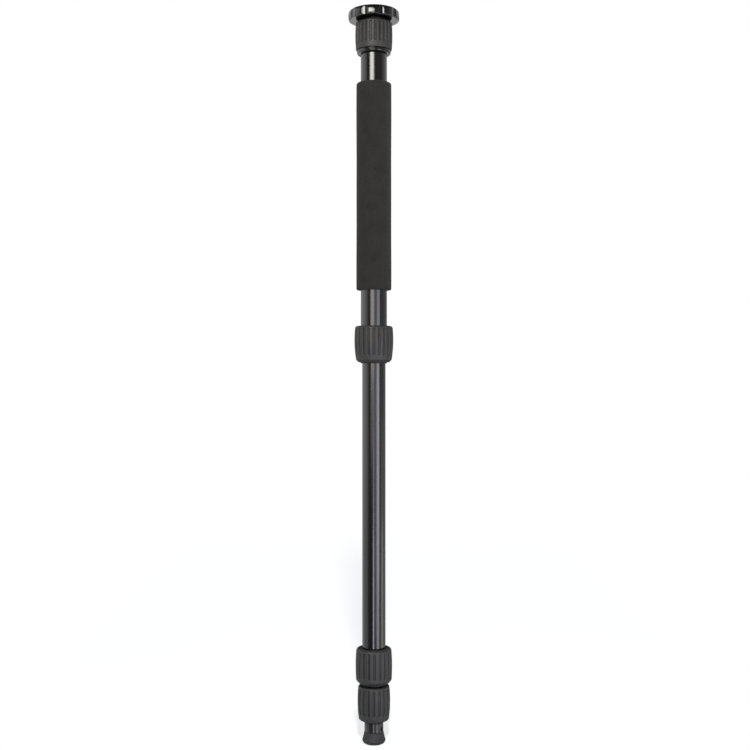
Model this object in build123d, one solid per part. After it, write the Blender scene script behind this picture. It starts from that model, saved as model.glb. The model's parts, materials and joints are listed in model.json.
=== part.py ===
from build123d import *
from collections import namedtuple
import math
import os

# A camera monopod of four telescoping tubes, upright on its foot, in millimetres.
# The origin is under the middle of the foot and +Z runs up the leg to the camera stud.
# The front of the object faces -Y. Tube 2 is drawn out, and tubes 3 and 4 are pushed in.

# Fits
bond_gap = 0.05
seat_gap = 0.05
running_gap = 0.05
thread_gap = 0.1
taper_gap = 0.15

# Tubes: the outer radius of the widest, how each next one nests in the one before, and
# how far the tops of tubes 3 and 4 lie below the top of the tube round them
tube_1_radius = 14.0
tube_wall = 1.1
nesting_gap = 0.4
tube_2_radius = tube_1_radius - tube_wall - nesting_gap
tube_3_radius = tube_2_radius - tube_wall - nesting_gap
tube_4_radius = tube_3_radius - tube_wall - nesting_gap
tube_3_drop = 7.9
tube_4_drop = 39.0

# Lengths that show, from the foot up
foot_rubber_height = 12.6
shank_height = 10.4
foot_gap = 1.3
seal_lip = 1.2
lock_c_height = 36.2
lock_gap = 1.6
lock_b_height = 37.9
tube_2_show = 303.8
lock_a_height = 38.8
tube_1_lower_show = 38.2
foam_length = 221.1
tube_1_upper_show = 31.0
end_ring_height = 5.1
end_ring_gap = 0.4
coupling_height = 28.5
plate_gap = 1.8
plate_thickness = 11.0

# Foot
foot_rubber_radius = 12.5
foot_collar_radius = 10.4
foot_sole_radius = 6.0
foot_bulge_height = 4.2
foot_flank_radius = 11.15
foot_flank_height = 8.6
foot_edge_radius = 11.2
foot_edge_height = 1.5
shank_radius = 10.15
shank_edge = 0.4
foot_peg_radius = 6.0
foot_peg_length = 6.5
foot_stud_radius = 4.7625
foot_stud_length = 14.0
tommy_hole_radius = 2.0
tommy_hole_height = 3.9
tommy_hole_angle = 58.0
washer_thickness = 0.8
washer_bore_gap = 0.25
plug_flange_height = 1.5
plug_depth = 16.5

# Twist locks: the sizes that all three share
ferrule_wall = 2.4
nut_wall = 1.5
nut_floor = 2.2
collet_flange_height = 1.8
collet_side_gap = 0.4
collet_taper_length = 11.5
collet_thin_wall = 1.2
collet_thick_wall = 2.45
collet_slot_width = 1.2
collet_slot_count = 6
collet_root = 1.5
ferrule_mouth_gap = 1.5
ferrule_mouth_depth = 12.1
ferrule_top_gap = 0.6
seal_gap = 0.1
seal_wall = 0.7
seal_top_gap = 0.2

# Collars: radii of the barrel's top, middle and foot, the edges beyond it, and the ribs
# between a rim at the top and a plain band at the foot
lock_a_shoulder = 20.2
lock_a_crown = 20.7
lock_a_heel = 19.0
lock_a_corner = 2.8
lock_a_chamfer_in = 2.6
lock_a_chamfer_up = 2.4
lock_a_rim = 2.6
lock_a_band = 7.2
lock_a_ribs = 22
lock_b_shoulder = 18.9
lock_b_crown = 19.5
lock_b_heel = 19.0
lock_b_corner = 2.6
lock_b_chamfer_in = 3.3
lock_b_chamfer_up = 3.7
lock_b_rim = 3.4
lock_b_band = 6.6
lock_b_ribs = 20
lock_c_shoulder = 16.7
lock_c_crown = 17.4
lock_c_heel = 16.1
lock_c_corner = 1.2
lock_c_chamfer_in = 1.2
lock_c_chamfer_up = 1.2
lock_c_rim = 2.2
lock_c_band = 6.0
lock_c_ribs = 18
coupling_shoulder = 19.3
coupling_crown = 19.85
coupling_heel = 19.1
coupling_corner = 1.5
coupling_chamfer_in = 0.5
coupling_chamfer_up = 0.6
coupling_rim = 2.5
coupling_band = 4.9
coupling_ribs = 24
seal_a_radius = 14.1
seal_b_radius = 13.9
seal_c_radius = 11.4

# Ribbed rubber: grooves with round ends between the ribs
groove_width = 2.5
groove_depth = 0.9

# Guide shims at the top of the inner tubes
shim_length = 22.0
shim_end = 2.5
shim_stop_gap = 1.0
shim_split = 0.6
key_width = 2.7
key_height = 0.4
keyway_width = 3.0
keyway_depth = 0.5
peg_radius = 1.5
peg_tip_gap = 0.1

# Foam grip
foam_radius = 18.8
foam_edge = 1.5

# Head: coupling collar, hub and plate
coupling_lip = 2.6
hub_flange_height = 3.0
hub_flange_gap = 0.3
hub_neck_radius = 13.0
hub_neck_gap = 0.3
hub_spigot_length = 7.6
hub_spigot_radius = 12.4
hub_spigot_gap = 0.1
hub_root_radius = 10.0
hub_root_length = 4.6
hub_cup_radius = 9.0
hub_cup_depth = 10.0
head_ferrule_rim = 8.0
end_ring_radius = 18.9
end_ring_tip = 16.3
end_ring_side = 18.0
end_ring_side_height = 1.8
plate_radius = 27.4
plate_top_round = 4.8
plate_bottom_round = 1.8
scallop_count = 10
scallop_radius = 7.5
scallop_depth = 1.15
pad_inner_radius = 10.5
pad_radius = 20.0
pad_recess = 1.0
pad_proud = 0.3
stud_thread_radius = 4.7625
stud_thread_length = 5.0
camera_thread_radius = 3.175
camera_thread_length = 4.5

# Heights that follow from the lengths above
shank_low = foot_rubber_height
shank_high = shank_low + shank_height
plug_low = shank_high + seat_gap + washer_thickness + seat_gap
tube_4_low = plug_low + plug_flange_height
lock_c_low = shank_high + foot_gap + seal_lip
lock_b_low = lock_c_low + lock_c_height + lock_gap + seal_lip
lock_a_low = lock_b_low + lock_b_height + tube_2_show + seal_lip
foam_low = lock_a_low + lock_a_height + tube_1_lower_show
foam_high = foam_low + foam_length
end_ring_low = foam_high + tube_1_upper_show
end_ring_high = end_ring_low + end_ring_height
coupling_low = end_ring_high + end_ring_gap
coupling_high = coupling_low + coupling_height
plate_low = coupling_high + plate_gap
plate_high = plate_low + plate_thickness

Lock = namedtuple(
    "Lock",
    "letter outer_tube inner_tube low height shoulder crown heel corner "
    "chamfer_in chamfer_up rim band ribs seal_radius",
)

locks = [
    Lock("a", tube_1_radius, tube_2_radius, lock_a_low, lock_a_height,
         lock_a_shoulder, lock_a_crown, lock_a_heel, lock_a_corner, lock_a_chamfer_in,
         lock_a_chamfer_up, lock_a_rim, lock_a_band, lock_a_ribs, seal_a_radius),
    Lock("b", tube_2_radius, tube_3_radius, lock_b_low, lock_b_height,
         lock_b_shoulder, lock_b_crown, lock_b_heel, lock_b_corner, lock_b_chamfer_in,
         lock_b_chamfer_up, lock_b_rim, lock_b_band, lock_b_ribs, seal_b_radius),
    Lock("c", tube_3_radius, tube_4_radius, lock_c_low, lock_c_height,
         lock_c_shoulder, lock_c_crown, lock_c_heel, lock_c_corner, lock_c_chamfer_in,
         lock_c_chamfer_up, lock_c_rim, lock_c_band, lock_c_ribs, seal_c_radius),
]

# The coupling collar has the same outline as the locks, but no collet and no seal
coupling = Lock("coupling", tube_1_radius, 0, coupling_low, coupling_height,
                coupling_shoulder, coupling_crown, coupling_heel,
                coupling_corner, coupling_chamfer_in,
                coupling_chamfer_up, coupling_rim, coupling_band, coupling_ribs, 0)


def ring(inner, outer, low, high):
    """A plain hollow cylinder between two heights."""
    section = Circle(outer) - Circle(inner)
    return Pos(0, 0, low) * extrude(section, high - low)


def rod(radius, low, high):
    """A plain round bar between two heights."""
    return Pos(0, 0, low) * extrude(Circle(radius), high - low)


def turned(outline):
    """A body of revolution about Z from a closed outline of radius and height."""
    return revolve(make_face(Plane.XZ * outline), Axis.Z)


def turned_points(*points):
    """A body of revolution whose outline has straight sides only."""
    return turned(Polyline(*points, close=True))


def around(count, first_angle=0.0):
    """Places spread evenly about Z, each turned to face outwards."""
    return [Rot(0, 0, first_angle + 360.0 * number / count) for number in range(count)]


def ferrule_radius(lock):
    return lock.outer_tube + ferrule_wall


def nut_bore(lock):
    return ferrule_radius(lock) + thread_gap


def nut_radius(lock):
    return nut_bore(lock) + nut_wall


def collet_low(lock):
    return lock.low + nut_floor + seat_gap


def taper_low(lock):
    return collet_low(lock) + collet_flange_height


def collet_high(lock):
    return taper_low(lock) + collet_taper_length


def ferrule_low(lock):
    return taper_low(lock) + ferrule_mouth_gap


def tube_end(lock):
    """Height of the lower end of the tube that carries this lock."""
    return ferrule_low(lock) + ferrule_mouth_depth


def taper_radius(lock, height):
    """Radius of the collet's cone, wider towards its flange."""
    share = (height - taper_low(lock)) / collet_taper_length
    wall = collet_thick_wall + (collet_thin_wall - collet_thick_wall) * share
    return lock.inner_tube + running_gap + wall


def barrel_arc(lock):
    """The bulging side of a collar, as radius and height, from its heel to its shoulder."""
    heel = (lock.heel, lock.low + lock.chamfer_up)
    crown = (lock.crown, lock.low + lock.height / 2)
    shoulder = (lock.shoulder, lock.low + lock.height - lock.corner)
    return ThreePointArc(heel, crown, shoulder)


def collar_outline(lock):
    """The barrel that the rubber sleeve and the nut inside it fill together."""
    high = lock.low + lock.height
    foot = (lock.heel - lock.chamfer_in, lock.low)
    heel = (lock.heel, lock.low + lock.chamfer_up)
    shoulder = (lock.shoulder, high - lock.corner)
    inset = lock.corner * (1 - math.sqrt(0.5))
    corner = (lock.shoulder - inset, high - inset)
    top = (lock.shoulder - lock.corner, high)
    outline = Line((0, lock.low), foot) + Line(foot, heel) + barrel_arc(lock)
    outline += ThreePointArc(shoulder, corner, top)
    outline += Line(top, (0, high)) + Line((0, high), (0, lock.low))
    return turned(outline)


def groove_cutter(lock):
    """One groove of the ribbed rubber: a slot with round ends, laid along the barrel."""
    barrel = barrel_arc(lock)
    low = barrel @ ((lock.band - lock.chamfer_up) / barrel.length)
    high = barrel @ (1 - (lock.rim - lock.corner) / barrel.length)
    along = Vector(high.X - low.X, 0, high.Y - low.Y)
    outward = Vector(along.Z, 0, -along.X).normalized()
    middle = Vector((low.X + high.X) / 2, 0, (low.Y + high.Y) / 2) - outward * groove_depth
    floor = Plane(origin=middle, x_dir=along, z_dir=outward)
    return extrude(floor * SlotOverall(along.length, groove_width), groove_depth + groove_width)


def ribbed_grip(lock):
    """The rubber sleeve over a nut, with its ribs."""
    sleeve = collar_outline(lock) - rod(nut_radius(lock) + bond_gap, lock.low,
                                        lock.low + lock.height)
    cutter = groove_cutter(lock)
    half_pitch = 180.0 / lock.ribs
    return sleeve - [place * cutter for place in around(lock.ribs, half_pitch)]


def lock_nut(lock):
    """The threaded nut inside the rubber, with the floor that pushes the collet up."""
    high = lock.low + lock.height
    core = collar_outline(lock) & rod(nut_radius(lock), lock.low, high)
    core -= rod(nut_bore(lock), lock.low + nut_floor, high)
    return core - rod(seal_outer(lock) + bond_gap, lock.low, high)


def seal_outer(lock):
    return lock.inner_tube + seal_gap + seal_wall


def dust_seal(lock):
    """The wiper ring pressed into the nut's floor, with the lip that shows under it."""
    inner = lock.inner_tube + seal_gap
    low = lock.low - seal_lip
    high = lock.low + nut_floor - seal_top_gap
    lip_edge = seal_lip / 3
    return turned_points(
        (inner, low),
        (lock.seal_radius - lip_edge, low),
        (lock.seal_radius, low + lip_edge),
        (lock.seal_radius, lock.low),
        (seal_outer(lock), lock.low),
        (seal_outer(lock), high),
        (inner, high),
    )


def ferrule(lock):
    """The threaded ferrule bonded on a tube's lower end, with the cone for the collet."""
    low = ferrule_low(lock)
    high = lock.low + lock.height - ferrule_top_gap
    seat = lock.outer_tube + bond_gap
    return turned_points(
        (taper_radius(lock, low) + taper_gap, low),
        (ferrule_radius(lock), low),
        (ferrule_radius(lock), high),
        (seat, high),
        (seat, tube_end(lock)),
        (taper_radius(lock, tube_end(lock)) + taper_gap, tube_end(lock)),
    )


def collet(lock):
    """The split tapered collet: fingers on a flange, slit right through at one side."""
    inner = lock.inner_tube + running_gap
    flange = nut_bore(lock) - collet_side_gap
    low = collet_low(lock)
    root = taper_low(lock)
    high = collet_high(lock)
    body = turned_points(
        (inner, low),
        (flange, low),
        (flange, root),
        (taper_radius(lock, root), root),
        (taper_radius(lock, high), high),
        (inner, high),
    )
    slot_height = high - root - collet_root
    slot = Pos(flange / 2 + inner / 2, 0, high - slot_height / 2) * Box(
        flange, collet_slot_width, slot_height)
    slit = Pos(flange / 2 + inner / 2, 0, (low + high) / 2) * Box(
        flange, collet_slot_width, high - low)
    places = around(collet_slot_count)
    return body - [places[0] * slit] - [place * slot for place in places[1:]]


def tube(radius, low, high, keyed, pegged):
    """One tube: keyways down its bore, and peg holes near its top for the shims."""
    bore = radius - tube_wall
    body = ring(bore, radius, low, high)
    if keyed:
        key = Pos(0, 0, (low + high) / 2) * Box(keyway_width, 2 * (bore + keyway_depth), high - low)
        body -= key
    if pegged:
        hole = Cylinder(peg_radius + running_gap, 4 * radius, rotation=(90, 0, 0))
        body -= Pos(0, 0, high - shim_end - shim_length / 2) * hole
    return body


def guide_shim(radius, tube_high, side):
    """Half a guide bush on a tube's top: a shell with a key outside and a peg inside."""
    low = tube_high - shim_end - shim_length
    high = tube_high - shim_end
    inner = radius + bond_gap / 2
    outer = radius + nesting_gap - running_gap
    tip = radius + nesting_gap + key_height
    shell = ring(inner, outer, low, high)
    half = Pos(0, side * (outer + shim_split / 2), (low + high) / 2) * Box(
        4 * outer, 2 * outer, high - low)
    shell &= half
    key = Pos(0, side * (inner + tip) / 2, (low + high) / 2) * Box(key_width, tip - inner, high - low)
    bore = rod(inner, low, high)
    peg_tip = radius - tube_wall + keyway_depth + peg_tip_gap
    peg = Cylinder(peg_radius, outer - peg_tip, rotation=(90, 0, 0))
    peg = Pos(0, side * (outer + peg_tip) / 2, (low + high) / 2) * peg
    return (shell + (key - bore)) + peg


def rubber_foot():
    """The flared rubber foot, with the socket that its shank's peg fills."""
    collar = (foot_collar_radius, foot_rubber_height)
    bulge = (foot_rubber_radius, foot_bulge_height)
    sole = (foot_sole_radius, 0)
    outline = Line((0, 0), sole)
    outline += ThreePointArc(sole, (foot_edge_radius, foot_edge_height), bulge)
    outline += ThreePointArc(bulge, (foot_flank_radius, foot_flank_height), collar)
    outline += Line(collar, (0, foot_rubber_height)) + Line((0, foot_rubber_height), (0, 0))
    socket = rod(foot_peg_radius + bond_gap, foot_rubber_height - foot_peg_length - bond_gap,
                 foot_rubber_height)
    return turned(outline) - socket


def foot_shank():
    """The turned neck of the foot: peg, cross-drilled neck and threaded stud in one."""
    neck = rod(shank_radius, shank_low + seat_gap, shank_high)
    neck = chamfer(neck.edges().filter_by(GeomType.CIRCLE), shank_edge)
    peg = rod(foot_peg_radius, shank_low - foot_peg_length, shank_low + shank_height / 2)
    stud = rod(foot_stud_radius, shank_high - shank_height / 2, shank_high + foot_stud_length)
    hole = Cylinder(tommy_hole_radius, 4 * shank_radius, rotation=(90, 0, 0))
    place = Pos(0, 0, shank_low + tommy_hole_height) * Rot(0, 0, tommy_hole_angle)
    return neck + peg + stud - place * hole


def foot_plug():
    """The threaded plug bonded in the lowest tube, with a flange that caps its end."""
    body = rod(tube_4_radius, plug_low, tube_4_low - seat_gap)
    body += rod(tube_4_radius - tube_wall - bond_gap, plug_low, tube_4_low + plug_depth)
    return body - rod(foot_stud_radius + running_gap, plug_low, tube_4_low + plug_depth)


def foot_washer():
    """The flat washer between the plug and the shoulder of the foot."""
    low = shank_high + seat_gap
    return ring(foot_stud_radius + washer_bore_gap, tube_4_radius, low, low + washer_thickness)


def foam_grip():
    """The foam sleeve on the widest tube, with rounded ends."""
    inner = tube_1_radius + bond_gap
    inset = foam_edge * (1 - math.sqrt(0.5))
    low_face = (foam_radius - foam_edge, foam_low)
    low_side = (foam_radius, foam_low + foam_edge)
    high_side = (foam_radius, foam_high - foam_edge)
    high_face = (foam_radius - foam_edge, foam_high)
    outline = Line((inner, foam_low), low_face)
    outline += ThreePointArc(low_face, (foam_radius - inset, foam_low + inset), low_side)
    outline += Line(low_side, high_side)
    outline += ThreePointArc(high_side, (foam_radius - inset, foam_high - inset), high_face)
    outline += Line(high_face, (inner, foam_high)) + Line((inner, foam_high), (inner, foam_low))
    return turned(outline)


# The hub's flange sits between the coupling nut's lip and the top of the head ferrule
lip_low = coupling_high - coupling_lip
flange_high = lip_low - seat_gap
flange_low = flange_high - hub_flange_height
head_ferrule_high = flange_low - seat_gap
tube_1_high = head_ferrule_high - head_ferrule_rim


def head_ferrule():
    """The ferrule bonded on the top of the widest tube; its flange shows as an end ring."""
    barrel = ferrule_radius(coupling)
    seat = tube_1_radius + bond_gap
    throat = hub_spigot_radius + hub_spigot_gap
    tip = (end_ring_tip, end_ring_low)
    rim = (end_ring_radius, end_ring_high)
    outline = Line((seat, end_ring_low), tip)
    outline += ThreePointArc(tip, (end_ring_side, end_ring_low + end_ring_side_height), rim)
    outline += Polyline(
        rim,
        (barrel, end_ring_high),
        (barrel, head_ferrule_high),
        (throat, head_ferrule_high),
        (throat, tube_1_high + bond_gap),
        (seat, tube_1_high + bond_gap),
        (seat, end_ring_low),
    )
    return turned(outline)


def coupling_nut():
    """The nut that pulls the hub down, held on the hub by the lip at its top."""
    core = collar_outline(coupling) & rod(nut_radius(coupling), coupling_low, coupling_high)
    core -= rod(nut_bore(coupling), coupling_low, lip_low)
    return core - rod(hub_neck_radius + hub_neck_gap, coupling_low, coupling_high)


def head_hub():
    """The turned hub: root in the plate, neck, flange, and spigot down in the ferrule."""
    spigot_low = flange_low - hub_spigot_length
    flange = nut_bore(coupling) - hub_flange_gap
    body = rod(hub_root_radius, flange_low, plate_low + hub_root_length)
    body += rod(hub_neck_radius, flange_low, plate_low - seat_gap)
    body += rod(flange, flange_low, flange_high)
    body += rod(hub_spigot_radius, spigot_low, flange_high)
    return body - rod(hub_cup_radius, spigot_low, spigot_low + hub_cup_depth)


def head_plate():
    """The camera plate: a disc with rounded edges, finger scallops and a pad recess."""
    disc = rod(plate_radius, plate_low, plate_high)
    disc = fillet(disc.edges().group_by(Axis.Z)[-1], plate_top_round)
    disc = fillet(disc.edges().group_by(Axis.Z)[0], plate_bottom_round)
    distance = plate_radius - scallop_depth + scallop_radius
    scallop = Pos(distance, 0, 0) * rod(scallop_radius, plate_low, plate_high)
    first = -90.0 + 180.0 / scallop_count
    disc -= [place * scallop for place in around(scallop_count, first)]
    disc -= ring(pad_inner_radius, pad_radius + bond_gap, plate_high - pad_recess, plate_high)
    disc -= rod(hub_root_radius + bond_gap, plate_low, plate_low + hub_root_length + seat_gap)
    return disc - rod(stud_thread_radius + running_gap,
                      plate_high - stud_thread_length, plate_high)


def head_pad():
    """The rubber ring let into the plate, a little proud of it."""
    return ring(pad_inner_radius + bond_gap, pad_radius,
                plate_high - pad_recess + seat_gap, plate_high + pad_proud)


def camera_stud():
    """The reversible stud: its thick end in the plate, its thin end up for the camera."""
    thick = rod(stud_thread_radius, plate_high - stud_thread_length + seat_gap, plate_high)
    return thick + rod(camera_thread_radius, plate_high - seat_gap,
                       plate_high + camera_thread_length)


# Where the inner tubes end at the top: their shims stop on the collets when drawn out
lock_a, lock_b, lock_c = locks
stop_to_top = shim_stop_gap + shim_length + shim_end
tube_2_high = collet_high(lock_a) + stop_to_top
tube_3_high = tube_2_high - tube_3_drop
tube_4_high = tube_3_high - tube_4_drop
travel_3 = tube_3_high - collet_high(lock_b) - stop_to_top
travel_4 = tube_4_high - collet_high(lock_c) - stop_to_top

parts = {
    "tube_1": tube(tube_1_radius, tube_end(lock_a), tube_1_high, True, False),
    "tube_2": tube(tube_2_radius, tube_end(lock_b), tube_2_high, True, True),
    "tube_3": tube(tube_3_radius, tube_end(lock_c), tube_3_high, True, True),
    "tube_4": tube(tube_4_radius, tube_4_low, tube_4_high, False, True),
    "foam_grip": foam_grip(),
    "head_ferrule": head_ferrule(),
    "coupling_nut": coupling_nut(),
    "coupling_grip": ribbed_grip(coupling),
    "head_hub": head_hub(),
    "head_plate": head_plate(),
    "head_pad": head_pad(),
    "camera_stud": camera_stud(),
    "foot_plug": foot_plug(),
    "foot_washer": foot_washer(),
    "foot_shank": foot_shank(),
    "rubber_foot": rubber_foot(),
}

for lock in locks:
    parts[f"ferrule_{lock.letter}"] = ferrule(lock)
    parts[f"collet_{lock.letter}"] = collet(lock)
    parts[f"lock_nut_{lock.letter}"] = lock_nut(lock)
    parts[f"lock_grip_{lock.letter}"] = ribbed_grip(lock)
    parts[f"dust_seal_{lock.letter}"] = dust_seal(lock)

inner_tubes = {
    2: (tube_2_radius, tube_2_high),
    3: (tube_3_radius, tube_3_high),
    4: (tube_4_radius, tube_4_high),
}

for number, (radius, high) in inner_tubes.items():
    parts[f"guide_shim_{number}_front"] = guide_shim(radius, high, -1)
    parts[f"guide_shim_{number}_back"] = guide_shim(radius, high, 1)

os.makedirs("parts", exist_ok=True)
for name, shape in parts.items():
    export_step(shape, f"parts/{name}.step")
print("stands", round(plate_high + camera_thread_length, 1), "mm tall with", len(parts), "pieces")
print("tube 3 draws out", round(travel_3, 2), "mm and tube 4", round(travel_4, 2), "mm")
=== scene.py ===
# %% [markdown]
# # A camera monopod
#
# A monopod is a single leg that a photographer stands under a camera. Four metal tubes slide in each
# other, three twist locks clamp them, a foam sleeve gives a hand something to hold, and a round plate
# with a stud carries the camera. The leg is a turned object: nearly every piece is a profile spun about
# one axis, and the ribs and finger scallops repeat round that axis.
#
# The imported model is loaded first. It fixes every size, and the pieces made here are put round it.
# Sizes of the object are written in millimetres, as on a maker's drawing, and become metres, which are
# Blender's unit, when they go into a mesh. The camera, the floor and the lamps are placed in metres.

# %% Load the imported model
import json
import math

import bpy
import numpy as np
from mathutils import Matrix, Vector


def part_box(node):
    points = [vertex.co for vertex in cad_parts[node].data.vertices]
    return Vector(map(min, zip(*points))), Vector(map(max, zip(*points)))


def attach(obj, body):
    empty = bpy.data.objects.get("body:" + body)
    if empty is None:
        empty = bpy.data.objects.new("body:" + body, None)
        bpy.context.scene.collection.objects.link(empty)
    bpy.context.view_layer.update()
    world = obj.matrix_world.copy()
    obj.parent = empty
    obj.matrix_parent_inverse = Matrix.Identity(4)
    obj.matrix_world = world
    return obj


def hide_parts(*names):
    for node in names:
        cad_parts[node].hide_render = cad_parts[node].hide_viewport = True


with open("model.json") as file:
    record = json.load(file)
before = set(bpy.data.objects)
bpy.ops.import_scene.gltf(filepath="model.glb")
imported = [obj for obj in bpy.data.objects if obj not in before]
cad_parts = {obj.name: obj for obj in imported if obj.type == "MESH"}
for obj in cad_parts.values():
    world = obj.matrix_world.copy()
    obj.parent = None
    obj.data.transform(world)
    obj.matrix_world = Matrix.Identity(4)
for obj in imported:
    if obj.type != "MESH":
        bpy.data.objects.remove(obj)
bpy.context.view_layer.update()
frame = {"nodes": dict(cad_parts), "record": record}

# %% [markdown]
# ## The camera
#
# The photo was taken level, from about 1.25 m in front of the leg and half way up it. A lens of 56 mm
# on a 36 mm sensor gives the same view. From that height the plate is seen a little from below, which
# is why its underside shows, and the foot a little from above.

# %% The camera
camera_distance = 1.25
camera_height = 0.3938
camera_offset = 0.0012
lens_length = 56.07
sensor_width = 36.0

camera = bpy.data.objects.new("camera", bpy.data.cameras.new("camera"))
camera.data.lens = lens_length
camera.data.sensor_width = sensor_width
camera.location = (camera_offset, -camera_distance, camera_height)
camera.rotation_euler = (math.pi / 2, 0, 0)
bpy.context.scene.collection.objects.link(camera)
bpy.context.scene.camera = camera
bpy.context.scene.view_settings.view_transform = "Standard"
print("the camera stands", camera_distance, "m in front of the leg")

# %% [markdown]
# ## Numbers that run through a finish
#
# A Blender material is a graph of nodes, in which every sum or product is a Math node. Written out node
# by node such a graph is hard to read, and an ordinary expression is easy. So a small class holds one
# output of a node, and its operators add the Math nodes. Their reflected forms let a plain number come
# first, as in 1 - mask.


# %% Shader values
class Value:
    """One output of a node. Arithmetic on it adds Math nodes to the same tree."""

    def __init__(self, tree, socket):
        self.tree = tree
        self.socket = socket

    def math(self, operation, first, second):
        return self.tree.node("ShaderNodeMath", {"operation": operation}, {0: first, 1: second})

    def __add__(self, other):
        return self.math("ADD", self, other)

    def __sub__(self, other):
        return self.math("SUBTRACT", self, other)

    def __rsub__(self, other):
        return self.math("SUBTRACT", other, self)

    def __mul__(self, other):
        return self.math("MULTIPLY", self, other)

    __radd__ = __add__
    __rmul__ = __mul__


# %% [markdown]
# ## The other nodes
#
# Any other node comes from one method, which takes its type, its settings and the values or links of
# its inputs. Textures read Object coordinates, which are metres in the frame of the whole leg at rest,
# so a pattern has its real size and stays on its piece when the leg is drawn out.


# %% Node trees
class Tree:
    """The node tree of a material or of the world, empty at first."""

    def __init__(self, owner):
        owner.use_nodes = True
        self.nodes = owner.node_tree.nodes
        self.links = owner.node_tree.links
        self.nodes.clear()

    def node(self, kind, settings=None, inputs=None, output=0):
        """Adds one node, sets it up, links or sets its inputs, and returns the chosen output."""
        made = self.nodes.new(kind)
        for name, setting in (settings or {}).items():
            if name == "stops":
                self.ramp(made.color_ramp, setting)
            else:
                setattr(made, name, setting)
        for name, value in (inputs or {}).items():
            if isinstance(value, Value):
                self.links.new(value.socket, made.inputs[name])
            else:
                made.inputs[name].default_value = value
        return Value(self, made.outputs[output]) if made.outputs else None

    def ramp(self, ramp, stops):
        """Gives a colour ramp its stops, each a place and a grey."""
        while len(ramp.elements) < len(stops):
            ramp.elements.new(1.0)
        for element, (place, grey) in zip(ramp.elements, stops):
            element.position = place
            element.color = (grey, grey, grey, 1.0)

    def stretched(self, scale):
        """Object coordinates times a scale, which is one number or one for each axis."""
        scale = scale if isinstance(scale, tuple) else (scale, scale, scale)
        place = self.node("ShaderNodeTexCoord", output="Object")
        return self.node("ShaderNodeVectorMath", {"operation": "MULTIPLY"}, {0: place, 1: scale})

    def noise(self, scale, detail=2.0, roughness=0.5):
        """Fractal noise from 0 to 1. The scale is in cycles per metre."""
        inputs = {"Vector": self.stretched(scale), "Scale": 1.0, "Detail": detail, "Roughness": roughness}
        return self.node("ShaderNodeTexNoise", inputs=inputs)

    def cells(self, scale):
        """Distance to the nearest of many scattered points, in cells of one over the scale."""
        return self.node("ShaderNodeTexVoronoi", inputs={"Vector": self.stretched(scale), "Scale": 1.0})

    def span(self, value, low, high):
        """0 below low, 1 above high, and a smooth step between."""
        inputs = {"Value": value, "From Min": low, "From Max": high}
        return self.node("ShaderNodeMapRange", {"interpolation_type": "SMOOTHSTEP"}, inputs)

    def blend(self, factor, first, second):
        """A colour that goes from the first to the second with the factor."""
        inputs = {0: factor, 6: (*first, 1.0), 7: (*second, 1.0)}
        return self.node("ShaderNodeMix", {"data_type": "RGBA"}, inputs, output=2)


# %% [markdown]
# ## One recipe for every finish
#
# No real surface is the same all over, so in each finish the colour, the roughness and the fine relief
# wander a little. What differs between finishes is how finely and how far. A finish is therefore put
# together from three builders: a colour between two near tones, a roughness between two levels, and a
# grain for the bump. A scale with a number for each axis draws the noise out into lines.

# %% Finishes from builders
micrometre = 0.000001
finishes = {}


def finish(name, base, roughness, height, relief, **constants):
    """A principled shader. base, roughness and height are built in its tree, relief is in metres."""
    material = bpy.data.materials.new(name)
    tree = Tree(material)
    bump = tree.node("ShaderNodeBump", inputs={"Height": height(tree), "Distance": relief})
    inputs = {"Base Color": base(tree), "Roughness": roughness(tree), "Normal": bump}
    inputs.update({socket.replace("_", " "): value for socket, value in constants.items()})
    shader = tree.node("ShaderNodeBsdfPrincipled", inputs=inputs)
    tree.node("ShaderNodeOutputMaterial", inputs={"Surface": shader})
    finishes[name] = material
    print("finish", name)


def mottled(dark, pale, scale):
    """A colour that wanders between two near tones."""
    return lambda tree: tree.blend(tree.noise(scale, 4.0), dark, pale)


def even(low, high, scale):
    """A roughness that wanders between two levels: low + noise * (high - low)."""
    return lambda tree: low + tree.noise(scale, 3.0) * (high - low)


def grain(scale):
    """A relief of fine noise: even specks, or lines where the scale differs by axis."""
    return lambda tree: tree.noise(scale, 2.0)


# %% [markdown]
# ## Black metal
#
# The tubes, the plate, the end ring and the foot's neck are aluminium with a black, lacquered skin.
# Such a skin reflects like glass, little straight on and much at a glancing angle, and a coat over a
# dark base does the same. A drawn tube has very fine lines along it, and a turned piece has them round
# it, so the noise is drawn out along Z for the one and pressed flat along Z for the other. The neck is
# worn by the ground: its skin is a little paler and its coat much duller. The hub and the nuts show only
# in narrow gaps, which lie in shade. Their black is paler than the rest: partly dust, and partly painted
# light that lifts those shaded gaps.

# %% Black metal
lacquer = mottled((0.0025, 0.0025, 0.0027), (0.0060, 0.0058, 0.0056), (90.0, 90.0, 14.0))
worn_lacquer = mottled((0.007, 0.007, 0.007), (0.014, 0.0138, 0.0136), (500.0, 500.0, 900.0))
# Partly dust, partly painted light: a paler black that lifts the shaded gaps where the hub and the nuts
# show.
dust_and_painted_light_black = mottled((0.040, 0.0395, 0.039), (0.056, 0.0553, 0.0545), 420.0)
satin = even(0.26, 0.38, 240.0)
dull = even(0.50, 0.65, 240.0)
drawn_lines = grain((2200.0, 2200.0, 12.0))
turned_lines = grain((50.0, 50.0, 3400.0))


def drawn_roughness(tree):
    """0.15, plus up to 0.03 in fine lines along Z and up to 0.05 in the clouds that handling leaves."""
    lines = tree.noise((2600.0, 2600.0, 22.0), 3.0)
    clouds = tree.noise(38.0, 3.0)
    return 0.15 + lines * 0.03 + clouds * 0.05


def turned_roughness(tree):
    """0.08, plus up to 0.05 in fine lines round the piece and up to 0.05 in small clouds."""
    lines = tree.noise((60.0, 60.0, 3800.0), 2.0)
    clouds = tree.noise(120.0, 3.0)
    return 0.08 + lines * 0.05 + clouds * 0.05


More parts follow.
